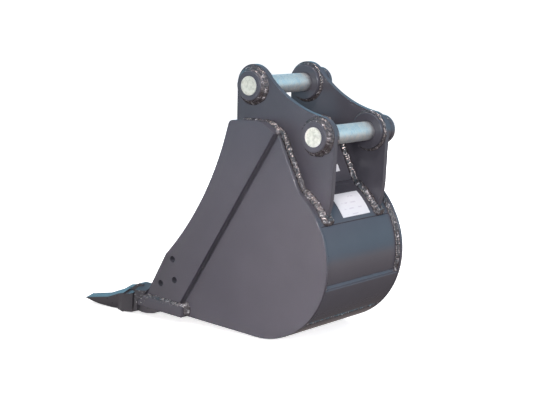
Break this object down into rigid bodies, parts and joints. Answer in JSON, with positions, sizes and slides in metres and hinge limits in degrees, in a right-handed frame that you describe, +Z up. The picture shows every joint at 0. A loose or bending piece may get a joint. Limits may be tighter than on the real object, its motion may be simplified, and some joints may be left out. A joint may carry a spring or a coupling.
{
  "type": "excavator bucket",
  "caption": "Narrow trenching bucket with two hanger ears, withdrawable pins, side cutters, lip plate and replaceable tooth points.",
  "frame": {"origin": "centre of the dipper pin, the front one of the two bucket pins, midway between the ears", "axes": "+X along the pins towards the right side (the driver's right), -Y towards the teeth, +Z up with the bucket standing on its heel and its teeth"},
  "size_m": [0.32, 0.6643, 0.5667],
  "materials": {
    "paint": "gloss slate grey paint",
    "tooth_paint": "gloss slate grey paint on castings",
    "zinc": "zinc plated",
    "label": "blank white sticker"
  },
  "bodies": {
    "bucket": {"side_sheet_right": "paint", "side_sheet_left": "paint", "side_cutter_right": "paint", "side_cutter_left": "paint", "top_plate": "paint", "back_plate": "paint", "upper_wrapper": "paint", "wrapper": "paint", "floor_plate": "paint", "heel_wear_plate": "paint", "bottom_wear_plate": "paint", "lip": "paint", "ear_right": "paint", "ear_left": "paint", "dipper_disc_right": "paint", "dipper_disc_left": "paint", "link_disc_right": "paint", "link_disc_left": "paint", "dipper_collar_right": "paint", "dipper_collar_left": "paint", "link_collar_right": "paint", "link_collar_left": "paint", "dipper_keeper_block": "paint", "link_keeper_block": "paint", "adapter_right": "tooth_paint", "adapter_middle": "tooth_paint", "adapter_left": "tooth_paint", "tooth_right": "tooth_paint", "tooth_middle": "tooth_paint", "tooth_left": "tooth_paint", "label": "label", "small_label": "label"},
    "dipper_pin": {"dipper_pin": "zinc", "dipper_pin_flag": "paint"},
    "dipper_bolt": {"dipper_keeper_bolt": "zinc"},
    "link_pin": {"link_pin": "zinc", "link_pin_flag": "paint"},
    "link_bolt": {"link_keeper_bolt": "zinc"},
    "lock_pin_right": {"lock_pin_right": "zinc"},
    "lock_pin_middle": {"lock_pin_middle": "zinc"},
    "lock_pin_left": {"lock_pin_left": "zinc"}
  },
  "joints": [
    {"name": "dipper_pin_slide", "type": "slide", "parent": "bucket", "child": "dipper_pin", "axis": [-1, 0, 0], "range_m": [0, 0.3]},
    {"name": "dipper_bolt_slide", "type": "slide", "parent": "dipper_pin", "child": "dipper_bolt", "axis": [-1, 0, 0], "range_m": [0, 0.045]},
    {"name": "link_pin_slide", "type": "slide", "parent": "bucket", "child": "link_pin", "axis": [-1, 0, 0], "range_m": [0, 0.3]},
    {"name": "link_bolt_slide", "type": "slide", "parent": "link_pin", "child": "link_bolt", "axis": [-1, 0, 0], "range_m": [0, 0.045]},
    {"name": "lock_pin_right_slide", "type": "slide", "parent": "bucket", "child": "lock_pin_right", "axis": [0, 0.061, 0.9981], "range_m": [0, 0.06]},
    {"name": "lock_pin_middle_slide", "type": "slide", "parent": "bucket", "child": "lock_pin_middle", "axis": [0, 0.061, 0.9981], "range_m": [0, 0.06]},
    {"name": "lock_pin_left_slide", "type": "slide", "parent": "bucket", "child": "lock_pin_left", "axis": [0, 0.061, 0.9981], "range_m": [0, 0.06]}
  ]
}
